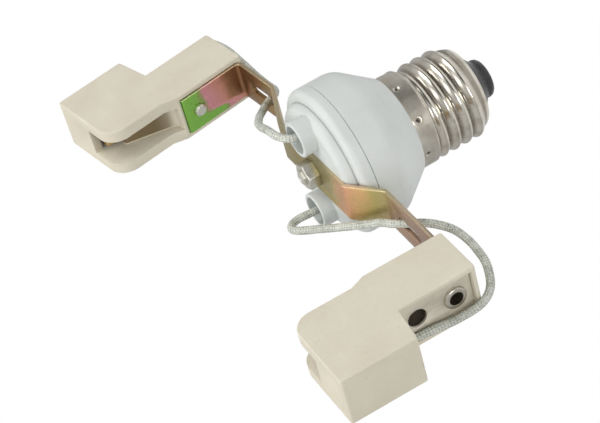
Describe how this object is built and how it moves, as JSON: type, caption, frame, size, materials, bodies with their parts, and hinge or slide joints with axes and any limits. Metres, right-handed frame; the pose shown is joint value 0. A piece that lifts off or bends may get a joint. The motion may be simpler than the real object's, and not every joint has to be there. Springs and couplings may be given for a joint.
{
  "type": "lamp socket adapter",
  "caption": "Adapter from an E27 screw base to a pair of ceramic R7s holders on a bent strap, for a double ended linear lamp.",
  "frame": {"origin": "outer face of the centre contact, on the screw axis", "axes": "+Z along the screw axis towards the lamp, X along the strap and the lamp, Y across the strap"},
  "size_m": [0.1462, 0.0418, 0.0962],
  "materials": {
    "nickel_plate": "bright nickel plating",
    "black_insulator": "satin black moulding",
    "white_housing": "satin white moulding",
    "yellow_passivate": "yellow passivated steel",
    "bright_zinc": "bright zinc plating",
    "ceramic": "unglazed matt ceramic",
    "plate_steel": "dull plated steel",
    "copper_alloy": "tinned copper alloy",
    "contact_silver": "bright contact button",
    "braid": "ivory glass fibre braid",
    "wire_sleeve": "thin white sleeve"
  },
  "bodies": {
    "adapter": {"screw_shell": "nickel_plate", "base_insulator": "black_insulator", "centre_contact": "nickel_plate", "housing": "white_housing", "front_cap": "white_housing", "strap": "yellow_passivate", "centre_screw": "bright_zinc", "centre_nut": "bright_zinc", "inner_wire_left": "wire_sleeve", "inner_wire_right": "wire_sleeve", "ceramic_holder_right": "ceramic", "cover_plate_right": "plate_steel", "eyelet_right": "nickel_plate", "holder_screw_right": "bright_zinc", "contact_spring_right": "copper_alloy", "contact_terminal_right": "copper_alloy", "terminal_rivet_right": "bright_zinc", "lead_right": "braid", "ceramic_holder_left": "ceramic", "cover_plate_left": "plate_steel", "eyelet_left": "nickel_plate", "holder_screw_left": "bright_zinc", "contact_spring_left": "copper_alloy", "contact_terminal_left": "copper_alloy", "terminal_rivet_left": "bright_zinc", "lead_left": "braid"},
    "contact_right": {"contact_tip_right": "contact_silver"},
    "contact_left": {"contact_tip_left": "contact_silver"}
  },
  "joints": [
    {"name": "contact_right_press", "type": "slide", "parent": "adapter", "child": "contact_right", "axis": [0.9877, 0, 0.1564], "range_m": [0, 0.0022], "stiffness_N_per_m": 400, "springref_m": -0.001, "deforming": ["contact_spring_right"]},
    {"name": "contact_left_press", "type": "slide", "parent": "adapter", "child": "contact_left", "axis": [-0.9998, 0, 0.0175], "range_m": [0, 0.0022], "stiffness_N_per_m": 400, "springref_m": -0.001, "deforming": ["contact_spring_left"]}
  ]
}
